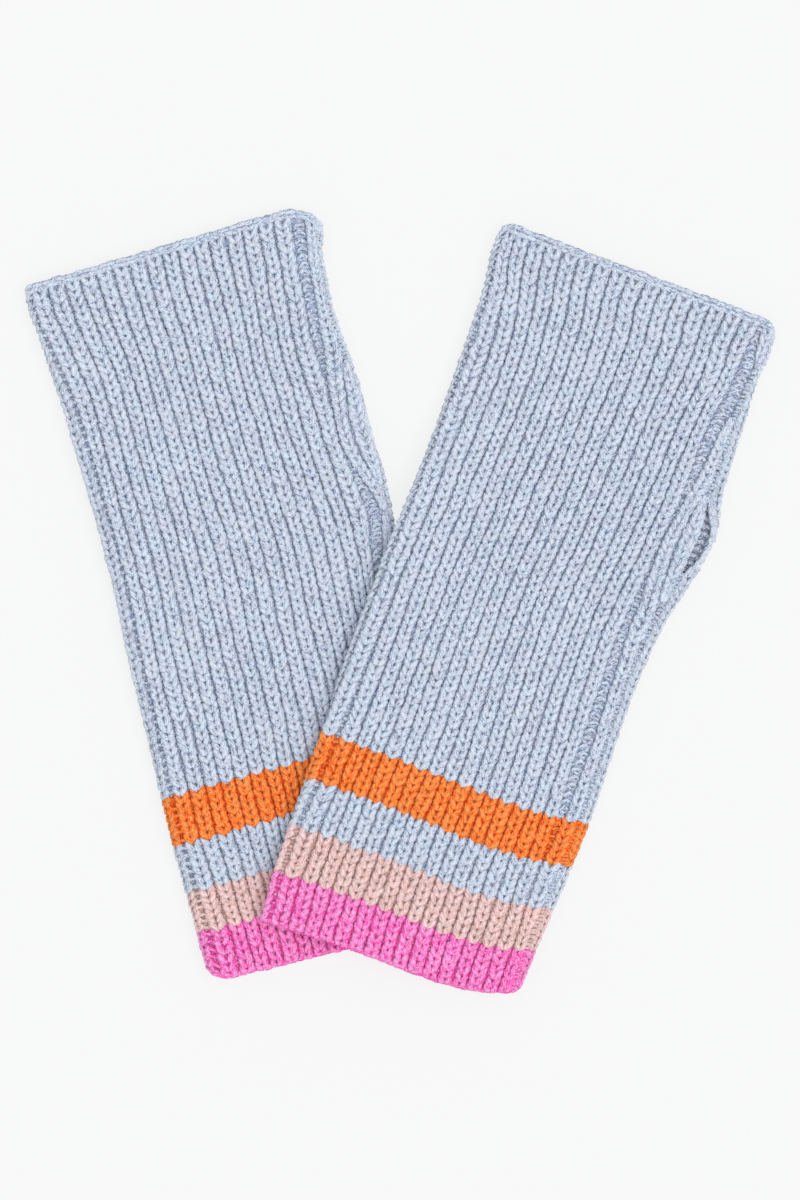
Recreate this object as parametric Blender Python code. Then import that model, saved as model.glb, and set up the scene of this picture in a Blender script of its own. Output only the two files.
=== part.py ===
"""A pair of striped rib-knit arm warmers, laid flat on a table, one over the other.

Each arm warmer is one rectangle of 1x1 rib, knitted from the cuff hem to the hand end, folded
lengthwise and sewn up near its right-hand edge. A stretch of that seam is left open as the
thumb slit. So each is one wall that starts at the seam, runs left over the front, turns at the
left fold, comes back underneath and turns up at the right fold to meet the seam again.

Frame: +Z up from the table, +Y towards the hand ends, the origin on the table under the middle
of the pair. Sizes are given in millimetres and the meshes are in metres.
"""

from collections import namedtuple
import math

import bmesh
import bpy
from mathutils import Vector

MM = 0.001
COLLECTION_NAME = "knitted_arm_warmers"

# Knitting gauge: a course is one row of stitches, a rib is one knit and one purl wale
COURSES = 90
COURSE_HEIGHT = 2.6
STRIPE_COURSES = 6
FRONT_RIBS = 17  # from the left fold to the seam
RIM_COURSES = 1.5  # the bound-off edge

# The wall, and how two layers of it lie on each other
GROOVE_WALL = 1.6
CREST_WALL = 2.8
RIM_WALL = 2.5
BACK_WALL = 2.2
LAYER_GAP = 0.6
SEAM_GAP = 0.3
MIDDLE = BACK_WALL + LAYER_GAP / 2  # height of the middle of the gap between the layers
LAID_HEIGHT = BACK_WALL + LAYER_GAP + CREST_WALL

# The folds at the two sides
FOLD_DEPTH = 2.6
FOLD_WALL = 2.2
FOLD_PATH = math.pi * (FOLD_DEPTH + MIDDLE) / 2  # round the outside of a fold, bottom to top

# The thumb slit, in courses from the hem
SLIT_START = 57
SLIT_END = 67
SLIT_LEAN = 0.7  # under 1 it gapes most nearer the cuff
SLIT_EASE = 6  # over these courses before and after it the front's edge draws in
HAND_EASE = 14  # over these courses the seam moves to its place at the hand end

# How the courses bow towards the hem, where the cuff lies spread
BOW_FADES_AT = 56
BOW_SKEW = 2.25  # over 1 the deepest point is right of the middle

# How far up or down the rounding of a corner bends the courses, in corner radii
CORNER_REACH = 2.5

# How the upper warmer comes down to the table beside the lower one
STEP_CLEARANCE = 0.3
STEP_START = 3.5  # still at full height this far outside the lower warmer
STEP_LENGTH = 26.0

# Where the middle of the pair's box lies in the frame that the tables of courses use
PAIR_MIDDLE_X = -0.13
PAIR_MIDDLE_Y = -0.42

# Faces along a wall
UNDERSIDE_STEPS = 10
FOLD_STEPS = 3
TURN_UP_STEPS = 5

# Across one rib, from its right-hand groove: how far across, and how much of the relief
RibPoint = namedtuple("RibPoint", "across relief")
RIB_POINTS = (
    RibPoint(0.0, 0.0),
    RibPoint(0.2, 0.8),
    RibPoint(0.5, 1.0),
    RibPoint(0.8, 0.8),
)
SELVEDGE_RELIEF = 0.8

# Rings of the wall along its length: the course, the share of the rib relief and of the wall.
# Between the two edges there is one at each stripe, and more along the thumb slit
Ring = namedtuple("Ring", "course relief wall")
HEM_RINGS = (Ring(0.0, 0.6, 0.65), Ring(0.5, 1.0, 1.0))
RIM_RINGS = (
    Ring(COURSES - RIM_COURSES, 1.0, 1.0),
    Ring(COURSES - 0.8 * RIM_COURSES, 0.0, 1.0),
    Ring(COURSES - 0.3 * RIM_COURSES, 0.0, 1.0),
    Ring(COURSES, 0.0, 0.65),
)
SLIT_STEPS = 7

# Where the two ends of a course lie on the table, as if every corner were square
Course = namedtuple("Course", "number left_x left_y right_x right_y")
LOWER_COURSES = (
    Course(0, -61.1, -122.6, 25.1, -101.4),
    Course(6, -65.2, -106.7, 22.4, -83.7),
    Course(12, -68.8, -93.7, 19.5, -69.0),
    Course(18, -72.9, -78.9, 16.0, -53.9),
    Course(24, -76.6, -63.7, 12.8, -38.9),
    Course(33, -81.9, -41.2, 7.3, -17.0),
    Course(42, -87.5, -18.8, 3.0, 5.0),
    Course(50, -91.8, 1.3, -1.2, 25.0),
    Course(57, -96.2, 18.8, -5.2, 43.1),
    Course(63, -100.4, 33.6, -9.3, 58.6),
    Course(70, -105.3, 50.9, -14.9, 76.4),
    Course(76, -109.6, 65.7, -20.1, 91.5),
    Course(82, -114.7, 80.2, -23.9, 106.9),
    Course(86, -118.2, 90.0, -26.0, 117.3),
    Course(90, -120.8, 99.9, -25.9, 127.7),
)
UPPER_COURSES = (
    Course(0, -45.0, -102.4, 38.9, -125.4),
    Course(6, -40.8, -86.2, 44.1, -111.6),
    Course(12, -35.8, -71.2, 49.9, -98.2),
    Course(18, -30.4, -56.2, 55.6, -84.9),
    Course(24, -25.6, -41.8, 60.9, -71.3),
    Course(33, -18.2, -19.3, 68.3, -49.2),
    Course(42, -10.1, 2.8, 76.0, -27.2),
    Course(50, -2.6, 22.4, 84.6, -8.3),
    Course(57, 4.7, 39.2, 94.5, 7.0),
    Course(60, 7.5, 46.6, 98.3, 13.8),
    Course(63, 10.3, 53.9, 101.7, 20.8),
    Course(66, 13.0, 61.3, 102.7, 28.6),
    Course(70, 16.5, 71.2, 104.9, 38.7),
    Course(76, 21.7, 86.1, 109.5, 53.6),
    Course(82, 26.5, 101.0, 114.2, 68.5),
    Course(86, 28.7, 111.2, 118.3, 78.0),
    Course(90, 32.5, 121.4, 121.7, 88.2),
)

# The seam: its distance in from the right-hand edge, the same at the middle of the thumb slit
# and at the hand end, and how far the back's edge turns up at the slit, as a share of a half turn
Seam = namedtuple("Seam", "inset slit_inset hand_inset slit_turn")
Corners = namedtuple("Corners", "hem_left hem_right hand_left hand_right")
Warmer = namedtuple("Warmer", "name courses hem_bow corners seam")
LOWER_WARMER = Warmer(
    name="lower_arm_warmer",
    courses=LOWER_COURSES,
    hem_bow=0.0,
    corners=Corners(hem_left=8.0, hem_right=4.0, hand_left=2.6, hand_right=12.5),
    seam=Seam(inset=2.0, slit_inset=0.8, hand_inset=1.6, slit_turn=0.25),
)
UPPER_WARMER = Warmer(
    name="upper_arm_warmer",
    courses=UPPER_COURSES,
    hem_bow=3.9,
    corners=Corners(hem_left=2.0, hem_right=4.5, hand_left=5.0, hand_right=6.5),
    seam=Seam(inset=3.8, slit_inset=5.8, hand_inset=1.0, slit_turn=0.8),
)

# Yarns: linear base colour; stripes from the hem up, and the main yarn above them
Yarn = namedtuple("Yarn", "name colour")
PALE_BLUE = Yarn("pale_blue", (0.52, 0.59, 0.71))
ORANGE = Yarn("orange", (0.87, 0.25, 0.055))
DUSTY_PINK = Yarn("dusty_pink", (0.70, 0.51, 0.49))
HOT_PINK = Yarn("hot_pink", (0.85, 0.22, 0.51))
YARNS = (PALE_BLUE, ORANGE, DUSTY_PINK, HOT_PINK)
STRIPES = (HOT_PINK, DUSTY_PINK, PALE_BLUE, ORANGE)
WOOL_ROUGHNESS = 0.9
SMOOTH_BELOW = math.radians(50)


def remove_old_objects():
    for old in list(bpy.data.objects):
        bpy.data.objects.remove(old)


def between(low, high, share):
    return low + (high - low) * share


def rings_between_edges():
    stripes = range(STRIPE_COURSES, COURSES, STRIPE_COURSES)
    step = (SLIT_END - SLIT_START) / SLIT_STEPS
    slit = [SLIT_START + step * index for index in range(SLIT_STEPS + 1)]
    clear = [c for c in stripes if c < SLIT_START - 1 or c > SLIT_END + 1]
    return tuple(Ring(course, 1.0, 1.0) for course in sorted(clear + slit))


def slope(rows, index, read):
    """How fast a value changes at one row of a table of courses, from its neighbours."""
    before = rows[max(index - 1, 0)]
    after = rows[min(index + 1, len(rows) - 1)]
    return (read(after) - read(before)) / (after.number - before.number)


def read_smoothly(rows, number, read):
    """A value at any course, on a smooth curve through the rows of a table of courses."""
    low = max(index for index, row in enumerate(rows[:-1]) if row.number <= number)
    start, end = rows[low], rows[low + 1]
    span = end.number - start.number
    t = (number - start.number) / span
    rise_out = slope(rows, low, read) * span
    rise_in = slope(rows, low + 1, read) * span
    return (
        read(start) * (1 - t) ** 2 * (1 + 2 * t)
        + rise_out * t * (1 - t) ** 2
        + read(end) * t**2 * (3 - 2 * t)
        - rise_in * t**2 * (1 - t)
    )


def course_ends(warmer, number):
    """The left and right ends of a course."""
    rows = warmer.courses
    left = read_smoothly(rows, number, lambda row: Vector((row.left_x, row.left_y)))
    right = read_smoothly(rows, number, lambda row: Vector((row.right_x, row.right_y)))
    return left, right


def corner_bend(radius, from_side, from_end):
    """How far the rounding of a corner pushes a course back from the end of the wall."""
    if from_side >= radius:
        return 0.0
    inside = radius - max(from_side, 0.0)
    arc = radius - math.sqrt(radius**2 - inside**2)
    return arc * max(0.0, 1.0 - from_end / (CORNER_REACH * radius))


def place_on_table(warmer, number, distance):
    """Where a point of a course lies, distance in from the warmer's left-hand edge."""
    left, right = course_ends(warmer, number)
    width = (right - left).length
    rightwards = (right - left) / width
    handwards = Vector((-rightwards.y, rightwards.x))
    across = min(max(distance / width, 0.0), 1.0)
    bow = warmer.hem_bow * max(0.0, 1.0 - number / BOW_FADES_AT)
    bow *= math.sin(math.pi * across**BOW_SKEW)
    from_hem = number * COURSE_HEIGHT
    from_hand = (COURSES - number) * COURSE_HEIGHT
    corners = warmer.corners
    push = corner_bend(corners.hem_left, distance, from_hem)
    push += corner_bend(corners.hem_right, width - distance, from_hem)
    push -= corner_bend(corners.hand_left, distance, from_hand)
    push -= corner_bend(corners.hand_right, width - distance, from_hand)
    return left + rightwards * distance + handwards * (push - bow)


# A point of the wall as it goes round the flattened tube: the distance in from the left-hand
# edge of the flat stretch or fold centre that it belongs to, how far it leans sideways round a
# fold (-1 to 1), how far it rises (-1 underneath, 1 on top), and the wall there
Station = namedtuple("Station", "distance side rise wall")


def front_station(distance, width, wall):
    """A station on top, which curves down where it comes within a fold's depth of an edge."""
    if distance < FOLD_DEPTH:
        centre = FOLD_DEPTH
    elif distance > width - FOLD_DEPTH:
        centre = width - FOLD_DEPTH
    else:
        return Station(distance, 0.0, 1.0, wall)
    side = max(-1.0, min(1.0, (distance - centre) / FOLD_DEPTH))
    return Station(centre, side, math.sqrt(1.0 - side**2), wall)


def front_stations(width, inset, ring):
    """From the seam over the ribs of the front to the edge of the left fold."""
    reach = width - inset - SEAM_GAP / 2
    pitch = reach / FRONT_RIBS
    groove_wall = between(RIM_WALL, GROOVE_WALL, ring.relief) * ring.wall
    crest_wall = between(RIM_WALL, CREST_WALL, ring.relief) * ring.wall
    stations = []
    for rib in range(FRONT_RIBS):
        for point in RIB_POINTS:
            at_seam = rib == 0 and point.across == 0.0
            relief = SELVEDGE_RELIEF if at_seam else point.relief
            distance = reach - (rib + point.across) * pitch
            wall = between(groove_wall, crest_wall, relief)
            stations.append(front_station(distance, width, wall))
    return stations


def left_fold_stations():
    """From the left-hand edge down to the underside."""
    stations = []
    for step in range(FOLD_STEPS + 1):
        angle = math.pi / 2 * step / FOLD_STEPS
        stations.append(Station(FOLD_DEPTH, -math.cos(angle), -math.sin(angle), BACK_WALL))
    return stations


def underside_stations(width):
    """Along the flat underside, from left to right."""
    flat = width - 2 * FOLD_DEPTH
    return [
        Station(FOLD_DEPTH + flat * step / UNDERSIDE_STEPS, 0.0, -1.0, BACK_WALL)
        for step in range(1, UNDERSIDE_STEPS + 1)
    ]


def closed_turn(inset):
    """The path from the underside round the right fold to the seam, when it is sewn shut."""
    edge = inset - SEAM_GAP / 2
    if edge >= FOLD_DEPTH:
        return FOLD_PATH + edge - FOLD_DEPTH
    return FOLD_PATH * (1.0 - math.asin((FOLD_DEPTH - edge) / FOLD_DEPTH) / math.pi)


def turn_up_stations(width, turn, ring):
    """From the underside round the right fold, as far along its path as turn."""
    stations = []
    for step in range(1, TURN_UP_STEPS + 1):
        path = turn * step / TURN_UP_STEPS
        wall = CREST_WALL * ring.wall
        centre = width - FOLD_DEPTH
        if path >= FOLD_PATH:
            stations.append(Station(centre - (path - FOLD_PATH), 0.0, 1.0, wall))
        else:
            angle = math.pi * path / FOLD_PATH
            stations.append(Station(centre, math.sin(angle), -math.cos(angle), wall))
    return stations


def hump(number, start, end, lean=1.0):
    """0 up to one course and from another one on, and up to 1 between them."""
    if not start < number < end:
        return 0.0
    return math.sin(math.pi * ((number - start) / (end - start)) ** lean)


def seam_inset(seam, number):
    """How far inside the right-hand edge the seam lies, or the slit's front edge."""
    drawn_in = hump(number, SLIT_START - SLIT_EASE, SLIT_END + SLIT_EASE) ** 2
    near_hand = max(0.0, 1.0 - (COURSES - number) / HAND_EASE)
    inset = between(seam.inset, seam.slit_inset, drawn_in)
    return inset + (seam.hand_inset - seam.inset) * near_hand


def ring_stations(warmer, ring):
    left, right = course_ends(warmer, ring.course)
    width = (right - left).length
    inset = seam_inset(warmer.seam, ring.course)
    opening = hump(ring.course, SLIT_START, SLIT_END, SLIT_LEAN)
    turn = between(closed_turn(inset), FOLD_PATH * warmer.seam.slit_turn, opening)
    return (
        front_stations(width, inset, ring)
        + left_fold_stations()
        + underside_stations(width)
        + turn_up_stations(width, turn, ring)
    )


def outer_point(station):
    """Distance from the left-hand edge and height of the wall's outer face."""
    height = LAYER_GAP / 2 + station.wall if station.rise > 0 else MIDDLE
    return station.distance + station.side * FOLD_DEPTH, MIDDLE + station.rise * height


def inner_point(station):
    """The same for its plain inner face."""
    depth = FOLD_DEPTH - FOLD_WALL
    return station.distance + station.side * depth, MIDDLE + station.rise * LAYER_GAP / 2


def table_outline(warmer):
    """The warmer's square-cornered outline on the table, counterclockwise."""
    up_the_right = [Vector((row.right_x, row.right_y)) for row in warmer.courses]
    down_the_left = [Vector((row.left_x, row.left_y)) for row in reversed(warmer.courses)]
    return up_the_right + down_the_left


def distance_outside(outline, point):
    """How far a point lies outside a closed outline that runs counterclockwise, 0 inside it."""
    inside = False
    nearest = math.inf
    for start, end in zip(outline, outline[1:] + outline[:1]):
        edge = end - start
        along = max(0.0, min(1.0, (point - start).dot(edge) / edge.length_squared))
        nearest = min(nearest, (point - start - edge * along).length)
        if (start.y > point.y) != (end.y > point.y):
            crossing = start.x + edge.x * (point.y - start.y) / edge.y
            inside = inside != (point.x < crossing)
    return 0.0 if inside else nearest


def lift_over(outline, point):
    """How high the upper warmer lies at a point: over the lower one, or down on the table."""
    past = (distance_outside(outline, point) - STEP_START) / STEP_LENGTH
    past = max(0.0, min(1.0, past))
    ease = past * past * (3.0 - 2.0 * past)
    return (LAID_HEIGHT + STEP_CLEARANCE) * (1.0 - ease)


def wall_point(warmer, ring, profile_point, beneath):
    distance, height = profile_point
    place = place_on_table(warmer, ring.course, distance)
    if beneath:
        height += lift_over(beneath, place)
    x = place.x - PAIR_MIDDLE_X
    y = place.y - PAIR_MIDDLE_Y
    return Vector((x, y, height)) * MM


def stripe_at(number):
    """The index among YARNS of the yarn that a course is knitted in."""
    stripe = int(number // STRIPE_COURSES)
    return YARNS.index(STRIPES[stripe] if stripe < len(STRIPES) else PALE_BLUE)


def close_end(bm, outer, inner, yarn):
    """The wall's edge at the hem or at the hand end, between its outer and inner faces."""
    for index in range(len(inner) - 1):
        corners = outer[2 * index : 2 * index + 3] + [inner[index + 1], inner[index]]
        bm.faces.new(corners).material_index = yarn


def join_rings(bm, low, high, yarn):
    """Faces between two neighbouring rings of points on one face of the wall."""
    for index in range(len(low) - 1):
        face = bm.faces.new((low[index], low[index + 1], high[index + 1], high[index]))
        face.material_index = yarn


def wall_mesh(warmer, beneath):
    """The closed wall of one warmer: ribbed outside, plain inside, open at the seam's gap."""
    bm = bmesh.new()
    rings = HEM_RINGS + rings_between_edges() + RIM_RINGS
    rows = []
    for ring in rings:
        stations = ring_stations(warmer, ring)
        outer = [wall_point(warmer, ring, outer_point(s), beneath) for s in stations]
        inner = [wall_point(warmer, ring, inner_point(s), beneath) for s in stations[::2]]
        rows.append(([bm.verts.new(p) for p in outer], [bm.verts.new(p) for p in inner]))
    for ring, (outer, inner), (next_outer, next_inner) in zip(rings, rows, rows[1:]):
        yarn = stripe_at(ring.course)
        join_rings(bm, outer, next_outer, yarn)
        join_rings(bm, next_inner, inner, yarn)
        for edge in (0, -1):
            join_rings(bm, [outer[edge], inner[edge]], [next_outer[edge], next_inner[edge]], yarn)
    close_end(bm, *rows[0], stripe_at(0))
    close_end(bm, *rows[-1], stripe_at(COURSES))
    bmesh.ops.recalc_face_normals(bm, faces=bm.faces)
    mesh = bpy.data.meshes.new(warmer.name)
    bm.to_mesh(mesh)
    bm.free()
    mesh.shade_smooth()
    mesh.set_sharp_from_angle(angle=SMOOTH_BELOW)
    return mesh


def wool_material(warmer, yarn):
    material = bpy.data.materials.new(f"{warmer.name}_{yarn.name}")
    material.use_nodes = True
    shader = material.node_tree.nodes["Principled BSDF"]
    shader.inputs["Base Color"].default_value = (*yarn.colour, 1.0)
    shader.inputs["Roughness"].default_value = WOOL_ROUGHNESS
    shader.inputs["Metallic"].default_value = 0.0
    material.diffuse_color = (*yarn.colour, 1.0)
    return material


def make_warmer(collection, warmer, beneath=None):
    """One arm warmer, over the outline of the warmer beneath it if there is one."""
    mesh = wall_mesh(warmer, beneath)
    for yarn in YARNS:
        mesh.materials.append(wool_material(warmer, yarn))
    collection.objects.link(bpy.data.objects.new(warmer.name, mesh))


def main():
    remove_old_objects()
    collection = bpy.data.collections.new(COLLECTION_NAME)
    bpy.context.scene.collection.children.link(collection)
    make_warmer(collection, LOWER_WARMER)
    make_warmer(collection, UPPER_WARMER, beneath=table_outline(LOWER_WARMER))


main()
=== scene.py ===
"""Looks of a pair of striped rib-knit arm warmers, laid flat, one over the other.

Every stitch is yarn. A knit stitch shows as two plump legs that meet in a V, one V above the
other along a rib, and between two ribs lies a purl column, mostly sunk out of sight. The
stitches lie round a thin ground cloth that closes the gaps between them.

A place on a warmer is a course, counted from the hem, and a path in millimetres round the
flattened tube, counted from where the left fold meets the front: over the front to the right,
round the right fold and back underneath. Sizes are millimetres; meshes are in metres.
"""

from collections import namedtuple

import bpy
import numpy as np
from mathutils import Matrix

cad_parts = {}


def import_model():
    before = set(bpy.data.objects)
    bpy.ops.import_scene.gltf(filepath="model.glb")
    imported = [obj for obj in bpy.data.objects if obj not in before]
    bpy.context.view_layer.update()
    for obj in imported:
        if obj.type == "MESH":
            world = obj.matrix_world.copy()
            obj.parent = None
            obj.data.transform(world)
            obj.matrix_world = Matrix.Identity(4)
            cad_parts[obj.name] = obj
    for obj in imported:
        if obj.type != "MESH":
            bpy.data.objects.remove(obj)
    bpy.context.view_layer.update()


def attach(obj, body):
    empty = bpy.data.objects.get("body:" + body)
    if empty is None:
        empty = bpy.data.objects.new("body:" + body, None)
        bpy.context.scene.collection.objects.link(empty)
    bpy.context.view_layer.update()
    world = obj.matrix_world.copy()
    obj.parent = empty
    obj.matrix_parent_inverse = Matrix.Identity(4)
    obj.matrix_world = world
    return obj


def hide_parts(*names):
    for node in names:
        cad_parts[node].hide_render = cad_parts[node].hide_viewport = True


MM = 0.001
BODY = "root"

# Knitting gauge
COURSES = 90
COURSE_HEIGHT = 2.6
STRIPE_COURSES = 6
RIB_PITCH = 5.0
EVEN_RIBS = 13  # in the middle of the front, with the less even ones beside them
BACK_RIBS = 19

# The yarn layer of the flattened tube: its middle follows a slot with round ends
YARN_RADIUS = 0.95
FOLD_DEPTH = 2.6
LAID_HEIGHT = 5.6
TUBE_MIDDLE = LAID_HEIGHT / 2
FOLD_REACH = FOLD_DEPTH - YARN_RADIUS
FOLD_RISE = TUBE_MIDDLE - YARN_RADIUS
FOLD_PATH = np.pi * (FOLD_REACH + FOLD_RISE) / 2

# The thumb slit, in courses from the hem
SLIT_START = 57
SLIT_END = 67
SLIT_LEAN = 0.7  # under 1 it gapes widest nearer the hem
SLIT_EASE = 6  # over these courses before and after it the front's edge draws in
HAND_EASE = 14  # over these courses the seam moves to its place at the hand end

# How the courses near the hem bow towards it
BOW_FADES_AT = 56
BOW_SKEW = 2.25  # over 1 the deepest point is right of the middle

# How far up or down the rounding of a corner bends the courses, in corner radii
CORNER_REACH = 2.5

# How the upper warmer comes down to the table beside the lower one
STEP_CLEARANCE = 0.3
STEP_START = 3.5  # still at full height this far outside the lower warmer
STEP_LENGTH = 26.0

# Where the middle of the pair's box lies in the frame that the tables of courses use
PAIR_MIDDLE_X = -0.13
PAIR_MIDDLE_Y = -0.42

# Where the two ends of a course lie on the table, as if every corner were square
Course = namedtuple("Course", "number left_x left_y right_x right_y")
LOWER_COURSES = (
    Course(0, -61.1, -122.6, 25.1, -101.4),
    Course(6, -65.2, -106.7, 22.4, -83.7),
    Course(12, -68.8, -93.7, 19.5, -69.0),
    Course(18, -72.9, -78.9, 16.0, -53.9),
    Course(24, -76.6, -63.7, 12.8, -38.9),
    Course(33, -81.9, -41.2, 7.3, -17.0),
    Course(42, -87.5, -18.8, 3.0, 5.0),
    Course(50, -91.8, 1.3, -1.2, 25.0),
    Course(57, -96.2, 18.8, -5.2, 43.1),
    Course(63, -100.4, 33.6, -9.3, 58.6),
    Course(70, -105.3, 50.9, -14.9, 76.4),
    Course(76, -109.6, 65.7, -20.1, 91.5),
    Course(82, -114.7, 80.2, -23.9, 106.9),
    Course(86, -118.2, 90.0, -26.0, 117.3),
    Course(90, -120.8, 99.9, -25.9, 127.7),
)
UPPER_COURSES = (
    Course(0, -45.0, -102.4, 38.9, -125.4),
    Course(6, -40.8, -86.2, 44.1, -111.6),
    Course(12, -35.8, -71.2, 49.9, -98.2),
    Course(18, -30.4, -56.2, 55.6, -84.9),
    Course(24, -25.6, -41.8, 60.9, -71.3),
    Course(33, -18.2, -19.3, 68.3, -49.2),
    Course(42, -10.1, 2.8, 76.0, -27.2),
    Course(50, -2.6, 22.4, 84.6, -8.3),
    Course(57, 4.7, 39.2, 94.5, 7.0),
    Course(60, 7.5, 46.6, 98.3, 13.8),
    Course(63, 10.3, 53.9, 101.7, 20.8),
    Course(66, 13.0, 61.3, 102.7, 28.6),
    Course(70, 16.5, 71.2, 104.9, 38.7),
    Course(76, 21.7, 86.1, 109.5, 53.6),
    Course(82, 26.5, 101.0, 114.2, 68.5),
    Course(86, 28.7, 111.2, 118.3, 78.0),
    Course(90, 32.5, 121.4, 121.7, 88.2),
)

# The purl columns of the front, by course: the unrolled distance of each from the left-hand
# edge, and the width of the ones that lie open. Between even_from and even_to the ribs are even
Purls = namedtuple(
    "Purls", "number fold fold_gap outer outer_gap even_from even_to side side_gap slit"
)
LOWER_PURLS = (
    Purls(0, 3.5, 1.4, 10.5, 0.0, 15.7, 78.1, 83.1, 0.0, 95.0),
    Purls(9, 3.4, 1.4, 10.2, 0.0, 15.4, 78.4, 83.7, 0.0, 95.0),
    Purls(15, 3.4, 1.4, 9.8, 0.0, 15.2, 78.6, 84.0, 0.0, 95.0),
    Purls(21, 3.5, 1.3, 9.4, 0.0, 14.8, 79.2, 84.2, 0.0, 95.0),
    Purls(30, 3.8, 1.0, 9.4, 0.0, 14.9, 79.9, 85.1, 0.0, 95.0),
    Purls(45, 4.8, 0.6, 9.5, 0.0, 15.2, 79.8, 85.0, 3.4, 94.5),
    Purls(52, 4.9, 0.6, 9.5, 0.0, 15.0, 79.6, 87.4, 4.4, 93.5),
    Purls(60, 5.0, 0.6, 9.5, 0.0, 14.8, 78.0, 83.0, 0.0, 87.4),
    Purls(68, 4.8, 0.8, 9.8, 0.0, 15.0, 77.4, 83.6, 0.0, 89.5),
    Purls(75, 4.2, 1.0, 9.8, 0.0, 15.0, 77.6, 85.0, 3.0, 95.0),
    Purls(86, 1.8, 1.0, 7.9, 0.0, 13.8, 82.4, 90.0, 3.8, 98.0),
    Purls(90, 1.8, 1.0, 7.6, 0.0, 13.4, 83.4, 91.4, 3.8, 98.0),
)
UPPER_PURLS = (
    Purls(0, -5.0, 0.4, 3.0, 0.6, 9.4, 74.2, 79.4, 0.0, 95.0),
    Purls(9, -4.0, 0.4, 3.4, 0.6, 10.2, 75.6, 80.6, 0.0, 95.0),
    Purls(15, -3.2, 0.4, 3.8, 0.7, 10.5, 75.2, 80.2, 0.0, 95.0),
    Purls(21, -1.6, 0.4, 5.0, 0.7, 11.2, 75.8, 81.0, 0.8, 95.0),
    Purls(30, 1.0, 0.4, 7.5, 0.4, 12.8, 76.2, 82.0, 3.4, 95.0),
    Purls(45, 2.1, 0.6, 8.2, 0.0, 13.2, 74.8, 81.2, 3.0, 93.0),
    Purls(53, 1.9, 0.6, 8.0, 0.0, 13.0, 75.2, 80.8, 1.0, 87.6),
    Purls(60, 1.2, 0.8, 7.8, 0.0, 12.8, 75.8, 81.0, 0.0, 85.5),
    Purls(67, 1.4, 0.8, 8.2, 0.0, 13.4, 77.0, 82.6, 1.4, 88.6),
    Purls(75, 1.7, 1.0, 8.6, 0.0, 13.8, 78.5, 84.8, 4.6, 95.0),
    Purls(84, 1.9, 1.0, 6.8, 0.0, 11.8, 81.8, 89.0, 4.6, 98.0),
    Purls(87, 1.8, 1.0, 6.2, 0.0, 11.2, 82.6, 89.4, 2.4, 98.0),
    Purls(90, 1.8, 1.0, 5.6, 0.0, 10.5, 83.3, 89.6, 0.4, 98.0),
)

# The seam: its distance in from the right-hand edge, the same at the middle of the thumb slit
# and at the hand end, and how far the back's edge turns up at the slit, as a share of a half turn
Seam = namedtuple("Seam", "inset slit_inset hand_inset slit_turn")

# The radii of the four corners
Corners = namedtuple("Corners", "hem_left hem_right hand_left hand_right")

# hem_bow is how far the hem bows, and beneath the warmer that this one lies over
Warmer = namedtuple("Warmer", "node courses purls hem_bow corners seam beneath seed")
LOWER_WARMER = Warmer(
    node="lower_arm_warmer",
    courses=LOWER_COURSES,
    purls=LOWER_PURLS,
    hem_bow=0.0,
    corners=Corners(hem_left=8.0, hem_right=4.0, hand_left=2.6, hand_right=12.5),
    seam=Seam(inset=2.0, slit_inset=0.8, hand_inset=1.6, slit_turn=0.25),
    beneath=None,
    seed=11,
)
UPPER_WARMER = Warmer(
    node="upper_arm_warmer",
    courses=UPPER_COURSES,
    purls=UPPER_PURLS,
    hem_bow=3.9,
    corners=Corners(hem_left=2.0, hem_right=4.5, hand_left=5.0, hand_right=6.5),
    seam=Seam(inset=3.8, slit_inset=5.8, hand_inset=1.0, slit_turn=0.8),
    beneath=LOWER_WARMER,
    seed=23,
)

# Yarns: the record's slot, the linear colours of darker fibres and of the painted shade of the
# depths, of middling fibres, and of lighter fibres and of the painted light of the folds, and how
# strongly the fuzz evens out the light over the yarn, against the yarn's own roundness
Yarn = namedtuple("Yarn", "slot shade middle light nap")
PALE_BLUE = Yarn(
    slot="pale_blue_wool",
    shade=(0.235, 0.305, 0.49),
    middle=(0.619, 0.671, 0.774),
    light=(0.66, 0.722, 0.815),
    nap=0.2,
)
ORANGE = Yarn(
    slot="orange_wool",
    shade=(1.0, 0.055, 0.001),
    middle=(0.98, 0.21, 0.016),
    light=(1.0, 0.34, 0.10),
    nap=0.1,
)
DUSTY_PINK = Yarn(
    slot="dusty_pink_wool",
    shade=(0.62, 0.40, 0.32),
    middle=(0.785, 0.522, 0.468),
    light=(0.90, 0.65, 0.65),
    nap=0.1,
)
HOT_PINK = Yarn(
    slot="hot_pink_wool",
    shade=(1.0, 0.04, 0.48),
    middle=(0.97, 0.152, 0.50),
    light=(1.0, 0.38, 0.73),
    nap=0.1,
)
YARNS = (PALE_BLUE, ORANGE, DUSTY_PINK, HOT_PINK)

# Stripes from the hem up. The last course lies under the bound-off rim
Stripe = namedtuple("Stripe", "name yarn start end")
STRIPES = (
    Stripe("hem", HOT_PINK, 0, STRIPE_COURSES),
    Stripe("second", DUSTY_PINK, STRIPE_COURSES, 2 * STRIPE_COURSES),
    Stripe("third", PALE_BLUE, 2 * STRIPE_COURSES, 3 * STRIPE_COURSES),
    Stripe("fourth", ORANGE, 3 * STRIPE_COURSES, 4 * STRIPE_COURSES),
    Stripe("main", PALE_BLUE, 4 * STRIPE_COURSES, COURSES - 1),
)

# A point on the middle line of a strand of yarn: how far across and along it lies from the
# stitch's middle, how high over the yarn layer's middle, and the yarn's radius there
Point = namedtuple("Point", "across along height radius")

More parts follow.
